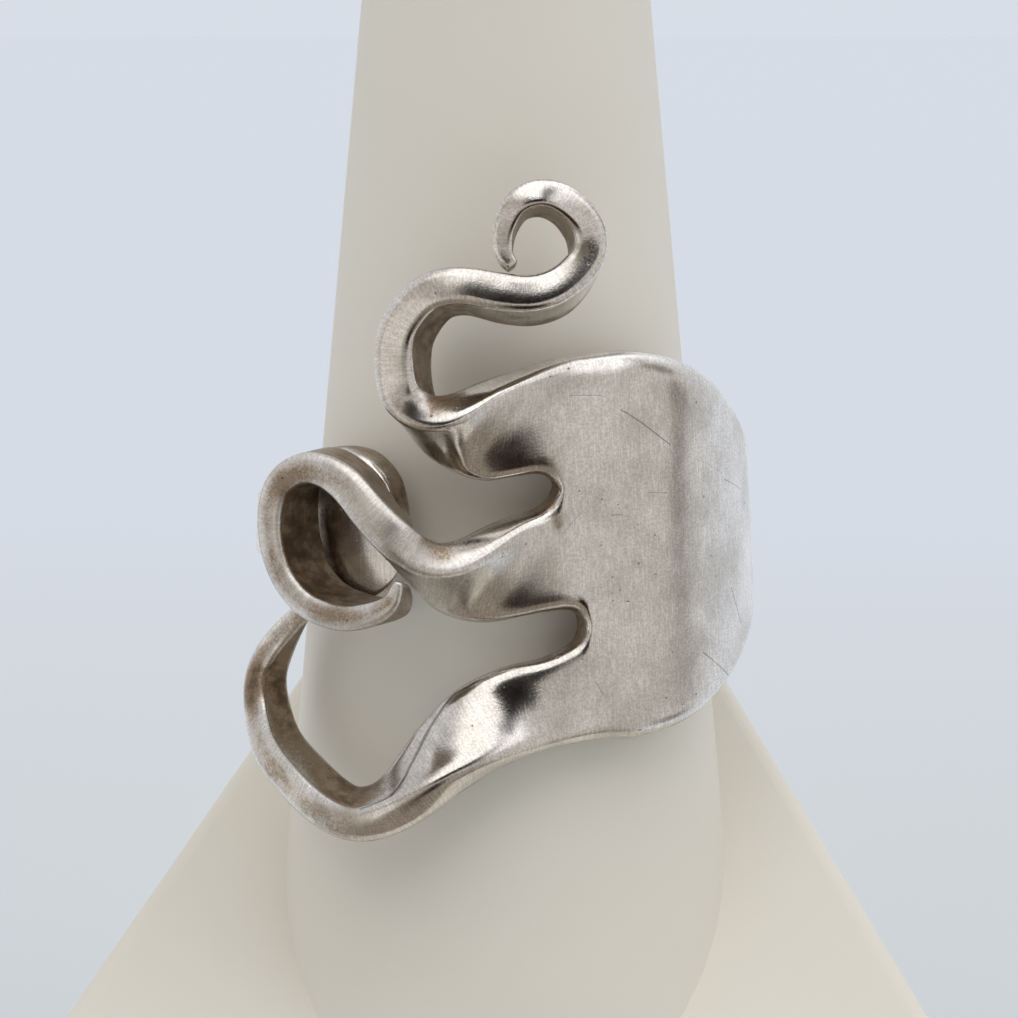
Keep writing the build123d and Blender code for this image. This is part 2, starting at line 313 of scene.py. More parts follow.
@dataclass(frozen=True)
class WornSilver:
    """Sterling silver that was forged, filed and brushed by hand, then worn and tarnished.

    It gives the eye a satin grey with hair lines across the blade, bright worn edges,
    small pits and scratches, and brown to black tarnish where no cloth reaches. A place on
    the flat fork is along it, across it and through its thickness, in millimetres.
    """

    name: str = "hand_filed_sterling_silver"
    bright: str = "F6F2ED"
    dull: str = "DDD8D1"
    shade: str = "6F6861"
    tarnish: str = "9E8D79"
    deep_tarnish: str = "7C6751"
    soot: str = "2C2219"
    brushing: float = 0.30

    # Patterns on the flat fork; the grain and the hair lines, too fine to show, are drawn coarser
    grain: Speckle = Speckle(0.10, 3.0, 0.62)
    cloud: Speckle = Speckle(2.6, 5.0, 0.62)
    crust: Speckle = Speckle(0.9, 4.0, 0.62)
    hair: Speckle = Speckle(1.0, 3.0, 0.70)
    hair_width: float = 0.06
    hair_length: float = 1.0
    hair_slants: tuple[float, float] = (0.0, 0.12)
    pit_spacing: float = 0.42
    pit_growth: Ramp = Ramp(0.30, 0.52, 0.0, 0.16)
    pit_slope: Ramp = Ramp(0.0, 0.08)
    grain_depth: float = 0.003
    hair_depth: float = 0.0014
    pit_depth: float = 0.02
    scratch_depth: float = 0.008

    # Where tarnish reaches
    inner_wall: Ramp = Ramp(0.2, 0.8, 0.0, 0.30)
    past_twist: Ramp = Ramp(68.0, 73.0)
    lower_half: Ramp = Ramp(4.0, 6.0, 1.0, 0.0)
    upper_part: Ramp = Ramp(1.4, 2.4)
    rubbed_end: Ramp = Ramp(8.0, 14.0, 0.5, 1.0)
    guarded_end: Ramp = Ramp(8.0, 14.0, 0.7, 0.0)
    clouding: Ramp = Ramp(0.30, 0.70, 0.75, 1.25)
    speckling: Ramp = Ramp(0.35, 0.65, -0.12, 0.12)
    tine_tarnish: float = 0.60
    shelter_tarnish: float = 0.95
    hollow_tarnish: float = 0.75
    edge_polish: float = 0.75

    # What each pattern does to the colour
    dulling: Ramp = Ramp(0.35, 0.70)
    hair_lines: Ramp = Ramp(0.20, 0.34, 0.20, 0.0)
    grain_lines: Ramp = Ramp(0.40, 0.60, 0.24, 0.0)
    staining: Ramp = Ramp(0.22, 0.75)
    deepening: Ramp = Ramp(0.55, 1.15)
    pale_crust: Ramp = Ramp(0.40, 0.49, 0.75, 0.0)
    dark_crust: Ramp = Ramp(0.51, 0.60, 0.0, 0.45)
    sooting: Ramp = Ramp(0.0, 1.0, 0.0, 0.6)

    # What they do to the gloss
    satin: Ramp = Ramp(0.35, 0.65, 0.13, 0.22)
    roughening: Ramp = Ramp(0.2, 0.8)
    tarnish_roughness: float = 0.46
    middle_start: Ramp = Ramp(64.5, 67.5)
    middle_width: Ramp = Ramp(2.4, 3.2, 1.0, 0.0)
    middle_roughness: float = 0.40
    sulphide: Ramp = Ramp(0.55, 1.0, 1.0, 0.45)

    def material(self) -> bpy.types.Material:
        """Builds the finish.

        Returns:
            The material, which reads the ring's own attributes.
        """
        made = bpy.data.materials.new(self.name)
        made.use_nodes = True
        tree = made.node_tree
        shader = tree.nodes["Principled BSDF"]
        shader.inputs["Anisotropic"].default_value = self.brushing

        place, stroke = (
            add_node(tree, "ShaderNodeAttribute", attribute_name=name).outputs["Vector"]
            for name in ("flat_place", "stroke")
        )
        grain, cloud, crust = (
            add_node(tree, "ShaderNodeTexNoise", speckle.inputs(place)).outputs["Fac"]
            for speckle in (self.grain, self.cloud, self.crust)
        )
        hair = self._hair(tree, place)
        pits = self._pits(tree, place, cloud)
        cuts = self._scratches(tree, place)
        reach = self._reach(tree, place, cloud, grain)
        metal = add_node(tree, "ShaderNodeMapRange", self.sulphide.inputs(reach), **SOFT).outputs[0]
        patterns = [(cloud, self.dulling), (hair, self.hair_lines), (grain, self.grain_lines)]
        marks = [(pits, self.sooting), (cuts, self.sooting)]
        heights = [
            (grain, self.grain_depth), (hair, self.hair_depth),
            (pits, -self.pit_depth), (cuts, -self.scratch_depth),
        ]
        for name, value in (
            ("Base Color", self._colour(tree, patterns, reach, crust, marks)),
            ("Metallic", metal),
            ("Roughness", self._roughness(tree, place, cloud, reach)),
            ("Tangent", stroke),
            ("Normal", self._relief(tree, heights)),
        ):
            tree.links.new(value, shader.inputs[name])
        return made

    def _hair(self, tree: Tree, place: Socket) -> Socket:
        """Draws fine hair lines across the fork, in two directions a little apart.

        Args:
            tree: The finish's node tree.
            place: The place on the flat fork.

        Returns:
            A height from 0 to 1.
        """
        stretch = (1 / self.hair_width, 1 / self.hair_length, 1 / self.hair_length)
        lines = []
        for slant in self.hair_slants:
            turned = add_node(tree, "ShaderNodeMapping", {"Vector": place, "Rotation": (0.0, 0.0, slant)})
            stretched = add_node(
                tree, "ShaderNodeVectorMath", {0: turned.outputs["Vector"], 1: stretch},
                operation="MULTIPLY",
            )
            line = add_node(tree, "ShaderNodeTexNoise", self.hair.inputs(stretched.outputs["Vector"]))
            lines.append(line.outputs["Fac"])
        both = dict(enumerate(lines))
        return add_node(tree, "ShaderNodeMath", both, operation="MULTIPLY").outputs[0]

    def _pits(self, tree: Tree, place: Socket, cloud: Socket) -> Socket:
        """Scatters small pits, more of them where the clouds are thick.

        Args:
            tree: The finish's node tree.
            place: The place on the flat fork.
            cloud: The soft clouds.

        Returns:
            How deep each place lies in a pit, from 0 to 1.
        """
        cells = add_node(tree, "ShaderNodeTexVoronoi", {"Vector": place, "Scale": 1 / self.pit_spacing})
        chance = add_node(tree, "ShaderNodeSeparateXYZ", {0: cells.outputs["Color"]}).outputs["X"]
        wanted = add_node(tree, "ShaderNodeMath", {0: cloud, 1: chance}, operation="MULTIPLY").outputs[0]
        size = add_node(tree, "ShaderNodeMapRange", self.pit_growth.inputs(wanted), **SOFT).outputs[0]
        share = add_node(
            tree, "ShaderNodeMath", {0: size, 1: cells.outputs["Distance"]}, operation="SUBTRACT",
        ).outputs[0]
        return add_node(tree, "ShaderNodeMapRange", self.pit_slope.inputs(share), **SOFT).outputs[0]

    def _scratches(self, tree: Tree, place: Socket) -> Socket:
        """Draws the single scratches.

        Args:
            tree: The finish's node tree.
            place: The place on the flat fork.

        Returns:
            How deep each place lies in a scratch, from 0 to 1.
        """
        level = add_node(
            tree, "ShaderNodeVectorMath", {0: place, 1: (1.0, 1.0, 0.0)}, operation="MULTIPLY",
        ).outputs["Vector"]
        deepest = 0.0
        for cut in SCRATCHES:
            start = Vector((cut.along_from, cut.across_from, 0))
            run = Vector((cut.along_to, cut.across_to, 0)) - start
            offset = add_node(
                tree, "ShaderNodeVectorMath", {0: level, 1: start}, operation="SUBTRACT",
            ).outputs["Vector"]
            measure = run / run.length_squared
            progress = add_node(
                tree, "ShaderNodeVectorMath", {0: offset, 1: measure}, operation="DOT_PRODUCT",
            ).outputs["Value"]
            held = add_node(tree, "ShaderNodeClamp", {"Value": progress}).outputs["Result"]
            nearest = add_node(
                tree, "ShaderNodeVectorMath", {0: run, "Scale": held}, operation="SCALE",
            ).outputs["Vector"]
            distance = add_node(
                tree, "ShaderNodeVectorMath", {0: offset, 1: nearest}, operation="DISTANCE",
            ).outputs["Value"]
            wall = Ramp(0.0, cut.width, cut.depth, 0.0)
            line = add_node(tree, "ShaderNodeMapRange", wall.inputs(distance), **SOFT).outputs[0]
            deepest = add_node(
                tree, "ShaderNodeMath", {0: deepest, 1: line}, operation="MAXIMUM",
            ).outputs[0]
        return deepest

    def _reach(self, tree: Tree, place: Socket, cloud: Socket, grain: Socket) -> Socket:
        """Works out how strong the tarnish is: most on sheltered and inner walls, none on edges.

        Args:
            tree: The finish's node tree.
            place: The place on the flat fork.
            cloud: The soft clouds.
            grain: The fine grain.

        Returns:
            The tarnish's strength, from 0 to over 1.
        """
        along, across, through = add_node(tree, "ShaderNodeSeparateXYZ", {0: place}).outputs
        inner, past, lower, upper, rubbed, guarded, clouded, speckled = (
            add_node(tree, "ShaderNodeMapRange", ramp.inputs(value), **SOFT).outputs[0]
            for ramp, value in (
                (self.inner_wall, through), (self.past_twist, along), (self.lower_half, across),
                (self.upper_part, across), (self.rubbed_end, along), (self.guarded_end, along),
                (self.clouding, cloud), (self.speckling, grain),
            )
        )
        low_tines, kept, end = (
            add_node(tree, "ShaderNodeMath", {0: first, 1: second}, operation=operation).outputs[0]
            for first, second, operation in (
                (past, lower, "MULTIPLY"), (rubbed, upper, "MAXIMUM"), (guarded, upper, "MULTIPLY"),
            )
        )
        shelter, hollow, edge = (
            add_node(tree, "ShaderNodeAttribute", attribute_name=name).outputs["Fac"]
            for name in ("shelter", "hollow", "worn_edge")
        )
        total = inner
        for value, weight in (
            (low_tines, self.tine_tarnish), (shelter, self.shelter_tarnish), (hollow, self.hollow_tarnish),
        ):
            total = add_node(
                tree, "ShaderNodeMath", {0: value, 1: weight, 2: total}, operation="MULTIPLY_ADD",
            ).outputs[0]
        for factor, extra in ((kept, end), (clouded, speckled)):
            total = add_node(
                tree, "ShaderNodeMath", {0: total, 1: factor, 2: extra}, operation="MULTIPLY_ADD",
            ).outputs[0]
        return add_node(
            tree, "ShaderNodeMath", {0: edge, 1: -self.edge_polish, 2: total}, operation="MULTIPLY_ADD",
        ).outputs[0]

    def _roughness(self, tree: Tree, place: Socket, cloud: Socket, reach: Socket) -> Socket:
        """Works out how satin the silver is.

        The tines on both sides guard the middle one from polishing, from its twist on.

        Args:
            tree: The finish's node tree.
            place: The place on the flat fork.
            cloud: The soft clouds.
            reach: The tarnish's strength.

        Returns:
            The roughness.
        """
        along, across, _ = add_node(tree, "ShaderNodeSeparateXYZ", {0: place}).outputs
        aside = add_node(tree, "ShaderNodeMath", {0: across}, operation="ABSOLUTE").outputs[0]
        rough, tarnished, start, width = (
            add_node(tree, "ShaderNodeMapRange", ramp.inputs(value), **SOFT).outputs[0]
            for ramp, value in (
                (self.satin, cloud), (self.roughening, reach),
                (self.middle_start, along), (self.middle_width, aside),
            )
        )
        middle = add_node(tree, "ShaderNodeMath", {0: start, 1: width}, operation="MULTIPLY").outputs[0]
        for share, value in ((middle, self.middle_roughness), (tarnished, self.tarnish_roughness)):
            rough = add_node(
                tree, "ShaderNodeMix", {"Factor": share, "A": rough, "B": value},
            ).outputs["Result"]
        return rough

    def _colour(
        self, tree: Tree, patterns: list[tuple[Socket, Ramp]], reach: Socket, crust: Socket,
        marks: list[tuple[Socket, Ramp]],
    ) -> Socket:
        """Mixes the silver's colour from its bright metal to its black pits.

        Args:
            tree: The finish's node tree.
            patterns: The clouds, the hair lines and the grain, each with its ramp.
            reach: The tarnish's strength.
            crust: The patches that deep tarnish breaks up into.
            marks: The pits and the scratches, each with its ramp.

        Returns:
            The colour.
        """
        stains = [(reach, self.staining), (reach, self.deepening)]
        crusts = [(crust, self.pale_crust), (crust, self.dark_crust)]
        dull, hair, grain, stain, deep, pale, dark, pits, cuts = (
            add_node(tree, "ShaderNodeMapRange", ramp.inputs(value), **SOFT).outputs[0]
            for value, ramp in patterns + stains + crusts + marks
        )
        pale, dark = (
            add_node(tree, "ShaderNodeMath", {0: deep, 1: share}, operation="MULTIPLY").outputs[0]
            for share in (pale, dark)
        )
        colour = linear(self.bright)
        for share, code in (
            (dull, self.dull), (hair, self.shade), (grain, self.shade), (stain, self.tarnish),
            (deep, self.deep_tarnish), (pale, self.tarnish), (dark, self.soot),
            (pits, self.soot), (cuts, self.soot),
        ):
            colour = add_node(
                tree, "ShaderNodeMix", {"Factor": share, "A": colour, "B": linear(code)}, data_type="RGBA",
            ).outputs[2]
        return colour

    @staticmethod
    def _relief(tree: Tree, heights: list[tuple[Socket, float]]) -> Socket:
        """Joins the relief of what stands up and what lies deep.

        Args:
            tree: The finish's node tree.
            heights: Patterns and how high they stand in millimetres, less than 0 for deep ones.

        Returns:
            The surface's direction.
        """
        normal = {}
        for height, size in heights:
            inputs = {"Height": height, "Distance": abs(size) * MM, "Strength": 1.0, **normal}
            bump = add_node(tree, "ShaderNodeBump", inputs, invert=size < 0)
            normal = {"Normal": bump.outputs["Normal"]}
        return normal["Normal"]


@dataclass(frozen=True)
class CastResin:
    """Cream polyurethane resin, cast in a mould and rubbed down.

    It gives the eye an even matte cream with a faint grain and soft clouding. The grain of the
    rubbing is too fine to show and is drawn coarser.
    """

    name: str = "cast_cream_resin"
    cream: str = "E8E4D9"
    shade: str = "E2DDD1"
    roughness: float = 0.62
    cloud: Speckle = Speckle(9.0, 4.0, 0.5)
    grain: Speckle = Speckle(0.25, 3.0, 0.5)
    grain_depth: float = 0.004

    def material(self) -> bpy.types.Material:
        """Builds the finish.

        Returns:
            The material, which reads Object coordinates.
        """
        made = bpy.data.materials.new(self.name)
        made.use_nodes = True
        tree = made.node_tree
        shader = tree.nodes["Principled BSDF"]
        shader.inputs["Roughness"].default_value = self.roughness
        place = add_node(tree, "ShaderNodeTexCoord").outputs["Object"]
        cloud, grain = (
            add_node(tree, "ShaderNodeTexNoise", speckle.inputs(place, MM)).outputs["Fac"]
            for speckle in (self.cloud, self.grain)
        )
        colour = add_node(
            tree, "ShaderNodeMix",
            {"Factor": cloud, "A": linear(self.cream), "B": linear(self.shade)}, data_type="RGBA",
        )
        bump = add_node(
            tree, "ShaderNodeBump", {"Height": grain, "Distance": self.grain_depth * MM, "Strength": 1.0},
        )
        tree.links.new(colour.outputs[2], shader.inputs["Base Color"])
        tree.links.new(bump.outputs["Normal"], shader.inputs["Normal"])
        return made


@dataclass(frozen=True)
class PalePaper:
    """Coated pale paper, rolled smooth, which gives the eye a cool white, with a painted shade that makes
    it a little darker in front.
    """

    name: str = "coated_pale_paper"
    white: str = "DAE1EA"
    # The front colour is a painted shade, which fades out towards the back
    front: str = "D5DADE"
    shade_fading: Ramp = Ramp(60.0 * MM, 260.0 * MM)
    roughness: float = 0.9
    shine: float = 0.1

    def material(self) -> bpy.types.Material:
        """Builds the finish of the floor.

        Returns:
            The material, whose colour goes from a painted shade in front to the plain white at the back.
        """
        made = bpy.data.materials.new(self.name)
        made.use_nodes = True
        tree = made.node_tree
        shader = tree.nodes["Principled BSDF"]
        shader.inputs["Roughness"].default_value = self.roughness
        shader.inputs["Specular IOR Level"].default_value = self.shine
        place = add_node(tree, "ShaderNodeTexCoord").outputs["Object"]
        back = add_node(tree, "ShaderNodeSeparateXYZ", {0: place}).outputs["Y"]
        # Painted shade: the floor is darker in front and turns to plain white towards the back
        share = add_node(tree, "ShaderNodeMapRange", self.shade_fading.inputs(back), **SOFT).outputs[0]
        colour = add_node(
            tree, "ShaderNodeMix",
            {"Factor": share, "A": linear(self.front), "B": linear(self.white)}, data_type="RGBA",
        ).outputs[2]
        tree.links.new(colour, shader.inputs["Base Color"])
        return made


class Station(NamedTuple):
    """A row of the sheet: each column's point, place on the flat fork, thickness and crispness."""

    points: list[Vector]
    flat: list[Vector]
    thickness: list[float]
    crispness: list[float]


class Layers(NamedTuple):
    """The values that each vertex of the sheet carries."""

    column: bmesh.types.BMLayerItem
    flat: bmesh.types.BMLayerItem
    half: bmesh.types.BMLayerItem
    lean: bmesh.types.BMLayerItem
    crisp: bmesh.types.BMLayerItem
    stroke: bmesh.types.BMLayerItem
    side: bmesh.types.BMLayerItem


@dataclass
class SilverRing:
    """The ring: one sheet of silver, slit into tines, bent round, thickened and softened.

    Lengths are millimetres and azimuths degrees round the finger, with 0 at the front.
    """

    finger_radius: float = 9.35
    stock: float = 1.65
    blade_taper: float = 0.04
    tine_rise: float = 2.75
    turn: float = 3.0
    seat_shift: tuple[float, float, float] = (-0.18, 0.0, 0.0)
    tine_edges: int = 4
    slit_edges: int = 2
    slit_rows: tuple[int, int] = (2, 1)
    root_step: float = 0.8
    steps: int = 3
    subdivisions: int = 2
    strap_crispness: float = 0.0
    top_crispness: float = 0.38
    crisp_ramp: float = 12.0
    middle_crispness: float = 0.30
    lower_crispness: float = 0.20
    slit_crispness: float = 0.40
    root_narrowing: tuple[tuple[float, ...], ...] = ((0.55, 0.26, 0.08), (0.28, 0.08, 0.0))
    root_bulge: float = 0.22
    bulge_steps: int = 2
    brow_drop: float = 0.24
    brow_from: float = 0.78
    brow_to: float = 0.90
    wave_size: float = 2.8
    wave_depth: float = 0.035
    dimple_size: float = 0.7
    dimple_depth: float = 0.006
    shelter_reach: float = 7.0
    shelter_tilts: tuple[float, ...] = (32.0, 62.0)
    shelter_turns: int = 6
    shelter_fade: float = 0.5
    shelter_start: float = 0.02
    sharp_bend: float = 3.0
    hollow_bend: float = 0.36
    hollow_blurs: int = 3
    finish: WornSilver = field(default_factory=WornSilver)

    def build(self) -> bpy.types.Object:
        """Builds the ring and dresses it.

        Returns:
            The ring's object, which rides on the body and stands for the CAD ring.
        """
        bm = bmesh.new()
        layers = Layers(
            bm.verts.layers.int.new("column"),
            bm.verts.layers.float_vector.new("flat_place"),
            bm.verts.layers.float.new("half"),
            bm.verts.layers.float_vector.new("lean"),
            bm.verts.layers.float.new("crisp"),
            bm.verts.layers.float_vector.new("stroke"),
            bm.verts.layers.int.new("side"),
        )
        self._sheet(bm, layers)
        self._thicken(bm, layers)
        self._crease(bm, layers)
        mesh = bpy.data.meshes.new("silver_ring")
        bm.to_mesh(mesh)
        bm.free()
        rough = bpy.data.objects.new("silver_ring_cage", mesh)
        bpy.context.scene.collection.objects.link(rough)
        levels = rough.modifiers.new("soften", "SUBSURF")
        levels.levels = self.subdivisions
        levels.render_levels = self.subdivisions
        graph = bpy.context.evaluated_depsgraph_get()
        smooth = bpy.data.meshes.new_from_object(rough.evaluated_get(graph), depsgraph=graph)
        bpy.data.objects.remove(rough)
        bpy.data.meshes.remove(mesh)
        smooth.name = "fork_ring"
        piece = bpy.data.objects.new("fork_ring", smooth)
        bpy.context.scene.collection.objects.link(piece)
        self._seat(smooth)
        self._wear(smooth)
        smooth.shade_smooth()
        smooth.materials.clear()
        smooth.materials.append(self.finish.material())
        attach(piece, BODY)
        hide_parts("silver_ring")
        return piece

    def place(self, azimuth: float, height: float, rise: float) -> Vector:
        """Finds a point beside the strap's middle surface.

        Args:
            azimuth: The point's direction round the finger.
            height: How high it lies.
            rise: How far it stands off the middle surface.

        Returns:
            The point.
        """
        reach = self.finger_radius + self.stock / 2 - self.blade_taper * height + rise
        angle = math.radians(azimuth)
        return Vector((math.sin(angle) * reach, -math.cos(angle) * reach, height))

    def _strap_stations(self) -> list[Station]:
        """Works out the rows of the strap, from the rounded end to the blade's root.

        Returns:
            A station for each step along the strap.
        """
        tops, bottoms, gauges = [], [], []
        for stretch, rows in STRAP.items():
            for row in rows:
                tops.append(self.place(row.azimuth, row.top * stretch.value, 0))
                bottoms.append(self.place(row.azimuth, row.bottom * stretch.value, 0))
                gauges.append(Vector((row.thickness, self.strap_crispness, 0)))
        tops = smooth_line(tops, self.steps)
        bottoms = smooth_line(bottoms, self.steps)
        gauges = smooth_line(gauges, self.steps)
        shares = self._column_shares()
        stations = []
        along = 0.0
        for index, (top, bottom, gauge) in enumerate(zip(tops, bottoms, gauges)):
            if index:
                along += ((top - tops[index - 1]).length + (bottom - bottoms[index - 1]).length) / 2
            points = [self._on_band(top, bottom, share) for share in shares]
            progress = (index / (len(tops) - 1) - self.brow_from) / (self.brow_to - self.brow_from)
            points[0] = self._dropped(points[0], min(1.0, max(0.0, progress)))
            flat = [Vector((along, point.z, 0)) for point in points]
            stations.append(
                Station(points, flat, [gauge.x * self.stock] * len(points), [gauge.y] * len(points))
            )
        return stations

    def _dropped(self, point: Vector, share: float) -> Vector:
        """Moves a point of the blade's upper edge towards the finger."""
        inward = point.xy.normalized() * self.brow_drop * share
        return Vector((point.x - inward.x, point.y - inward.y, point.z))

    @staticmethod
    def _on_band(top: Vector, bottom: Vector, share: float) -> Vector:
        """Finds a point between two edges of the band, kept on its curve round the finger.

        Args:
            top: The point on the upper edge.
            bottom: The point on the lower edge.
            share: How far down the point lies, from 0 to 1.

        Returns:
            The point.
        """
        point = top.lerp(bottom, share)
        reach = top.xy.length + (bottom.xy.length - top.xy.length) * share
        flat = point.xy.normalized() * reach
        return Vector((flat.x, flat.y, point.z))

    def _column_shares(self) -> list[float]:
        """Spreads the columns over the tines and the slits between them.

        Returns:
            Each column's height at the tines' root, from 0 on top to 1 as a share of the blade's.
        """
        heights = []
        for row in (TOP_TINE[0], MIDDLE_TINE[0]):
            heights += self._spread(row.near_height, row.far_height, self.tine_edges)
        heights += self._spread(LOWER_TINE[0].far_height, LOWER_TINE[0].near_height, self.tine_edges)
        filled = []
        for index, height in enumerate(heights):
            filled.append(height)
            last_of_tine = (index + 1) % (self.tine_edges + 1) == 0
            if last_of_tine and index + 1 < len(heights):
                filled += self._spread(height, heights[index + 1], self.slit_edges)[1:-1]
        return [(filled[0] - height) / (filled[0] - filled[-1]) for height in filled]

    @staticmethod
    def _spread(start: float, end: float, edges: int) -> list[float]:
        """Evenly spaced values from start to end, both among them."""
        return [start + (end - start) * step / edges for step in range(edges + 1)]

    def _tine_stations(
        self, rows: list[TineRow], begin: float, flip: bool, crisp: float
    ) -> list[Station]:
        """Works out the rows of a tine.

        Args:
            rows: The tine's cross-sections.
            begin: How far along the flat fork the first row lies.
            flip: Whether the far edge is the upper one on the flat fork.
            crisp: How crisp the tine's edges are, from 0 to 1.

        Returns:
            A station for each step along the tine.
        """
        half, rise = Stretch.BLADE.value, self.tine_rise
        near = [self.place(row.near_azimuth, row.near_height * half, row.near_rise * rise) for row in rows]
        far = [self.place(row.far_azimuth, row.far_height * half, row.far_rise * rise) for row in rows]
        gauges = smooth_line([Vector((row.thickness, 0, 0)) for row in rows], self.steps)
        near = smooth_line(near, self.steps)
        far = smooth_line(far, self.steps)
        if flip:
            near, far = far, near
        centre = (near[0].z + far[0].z) / 2
        shares = self._spread(0, 1, self.tine_edges)
        stations = []
        along = begin
        for index, (first, last) in enumerate(zip(near, far)):
            if index:
                middle = (first + last) / 2
                along += (middle - (near[index - 1] + far[index - 1]) / 2).length
            points = [first.lerp(last, share) for share in shares]
            width = (last - first).length
            flat = [Vector((along, centre + width * (0.5 - share), 0)) for share in shares]
            gauge = gauges[index].x * self.stock
            sharp = crisp * min(1.0, index / self.crisp_ramp)
            stations.append(Station(points, flat, [gauge] * len(points), [sharp] * len(points)))
        return stations

    def _sheet(self, bm: bmesh.types.BMesh, layers: Layers) -> None:
        """Grows the sheet from the strap's rounded end to the tips of the tines.

        Args:
            bm: The ring's mesh, still empty.
            layers: The values that its vertices carry.
        """
        strap = self._strap_stations()
        begin = strap[-1].flat[0].x + self.root_step
        tines = [
            self._tine_stations(TOP_TINE, begin, False, self.top_crispness),
            self._tine_stations(MIDDLE_TINE, begin, False, self.middle_crispness),
            self._tine_stations(LOWER_TINE, begin, True, self.lower_crispness),
        ]
        row = []
        for column, ahead in enumerate(strap[1].points):
            vert = bm.verts.new(strap[0].points[column] * 2 - ahead)
            vert[layers.column] = column
            row.append(vert)
        self._settle(row, strap[0], layers)
        edges = [bm.edges.new(pair) for pair in zip(row, row[1:])]
        for station in strap[1:]:
            edges = self._grow(bm, edges, station, layers)

        tine_columns = self.tine_edges + 1
        gap = self.slit_edges - 1
        starts = [index * (tine_columns + gap) for index in range(len(tines))]
        roots = [row * self.steps for row in self.slit_rows]
        for index in range(max(roots) + 1):
            station = self._fork_station([tine[index] for tine in tines], index, roots)
            edges = self._grow(bm, edges, station, layers)
            for slit, root in enumerate(roots):
                if index == root:
                    first = starts[slit] + tine_columns - 1
                    last = starts[slit + 1]
                    edges = [
                        e for e in edges
                        if not all(first <= v[layers.column] <= last for v in e.verts)
                    ]
        for tine, start in zip(tines, starts):
            columns = range(start, start + tine_columns)
            strip = [e for e in edges if all(v[layers.column] in columns for v in e.verts)]
            for station in tine[max(roots) + 1:]:
                strip = self._grow(bm, strip, self._shifted(station, start), layers)
        bmesh.ops.recalc_face_normals(bm, faces=bm.faces)
        blade = max(bm.faces, key=lambda face: -face.calc_center_median().y)
        if blade.normal.y > 0:
            bmesh.ops.reverse_faces(bm, faces=bm.faces)

    def _fork_station(self, parts: list[Station], index: int, roots: list[int]) -> Station:
        """Joins the three tines' rows to one row, with the slits' columns between them.

        Args:
            parts: A row of each tine.
            index: How many steps past the tines' root the rows lie.
            roots: The steps at which the slits have their closed ends.

        Returns:
            The joined row.
        """
        points, flat, thickness, crisp = [], [], [], []
        for number, part in enumerate(parts):
            if number:
                root = roots[number - 1]
                before, after = points[-1], part.points[0]
                nearness = max(0, 1 - abs(index - root) / self.bulge_steps)
                bulge = (before - after).cross((before + after).xy.to_3d()).normalized()
                outward = self.root_bulge * nearness
                for step in range(1, self.slit_edges):
                    share = step / self.slit_edges
                    points.append(before.lerp(after, share) + bulge * outward)
                    flat.append(flat[-1].lerp(part.flat[0], share))
                    thickness.append(self.stock)
                    crisp.append(self.slit_crispness)
                if root <= index < root + len(self.root_narrowing[number - 1]):
                    narrowing = self.root_narrowing[number - 1][index - root]
                    centre = (before + after) / 2
                    at = len(points) - self.slit_edges
                    points[at] = points[at].lerp(centre, narrowing)
                    part.points[0] = part.points[0].lerp(centre, narrowing)
            points += part.points
            flat += part.flat
            thickness += part.thickness
            crisp += part.crispness
        points[0] = self._dropped(points[0], 1 - index / (max(roots) + 1))
        return Station(points, flat, thickness, crisp)

    @staticmethod
    def _shifted(station: Station, start: int) -> Station:
        """Pads a tine's row so that its columns keep their numbers on the whole sheet."""
        pad = [None] * start
        return Station(*(pad + values for values in station))

    def _grow(
        self, bm: bmesh.types.BMesh, edges: list[bmesh.types.BMEdge], station: Station, layers: Layers
    ) -> list[bmesh.types.BMEdge]:
        """Extrudes a row of edges to the next station.

        Args:
            bm: The ring's mesh.
            edges: The row that the sheet ends with.
            station: Where the next row goes.
            layers: The values that each vertex carries.

        Returns:
            The new row.
        """
        grown = bmesh.ops.extrude_edge_only(bm, edges=edges)["geom"]
        verts = {item for item in grown if isinstance(item, bmesh.types.BMVert)}
        self._settle(verts, station, layers)
        return [
            item for item in grown
            if isinstance(item, bmesh.types.BMEdge) and all(v in verts for v in item.verts)
        ]

    @staticmethod
    def _settle(verts: set[bmesh.types.BMVert], station: Station, layers: Layers) -> None:
        """Moves each vertex to its column's point and writes what it carries.

        Args:
            verts: The vertices of one row.
            station: The row's points and values.
            layers: Where the values are written.
        """
        for vert in verts:
            column = vert[layers.column]
            vert[layers.stroke] = (station.points[column] - vert.co).normalized()
            vert.co = station.points[column]
            vert[layers.flat] = station.flat[column]
            vert[layers.half] = station.thickness[column] / 2
            vert[layers.crisp] = station.crispness[column]

    @staticmethod
    def _thicken(bm: bmesh.types.BMesh, layers: Layers) -> None:
        """Gives the sheet its thickness, half to each side of its middle surface.

        Args:
            bm: The ring's mesh.
            layers: The values that each vertex carries.
        """
        bm.normal_update()
        for vert in bm.verts:
            vert[layers.lean] = vert.normal
        under = list(bm.verts)
        grown = bmesh.ops.extrude_face_region(bm, geom=bm.faces[:])["geom"]
        over = [item for item in grown if isinstance(item, bmesh.types.BMVert)]
        for verts, sign, side in ((under, -1, 0), (over, 1, 1)):
            for vert in verts:
                depth = vert[layers.half] * sign
                vert.co += vert[layers.lean] * depth
                flat = vert[layers.flat].copy()
                flat.z = depth
                vert[layers.flat] = flat
                vert[layers.side] = side
        bmesh.ops.recalc_face_normals(bm, faces=bm.faces)

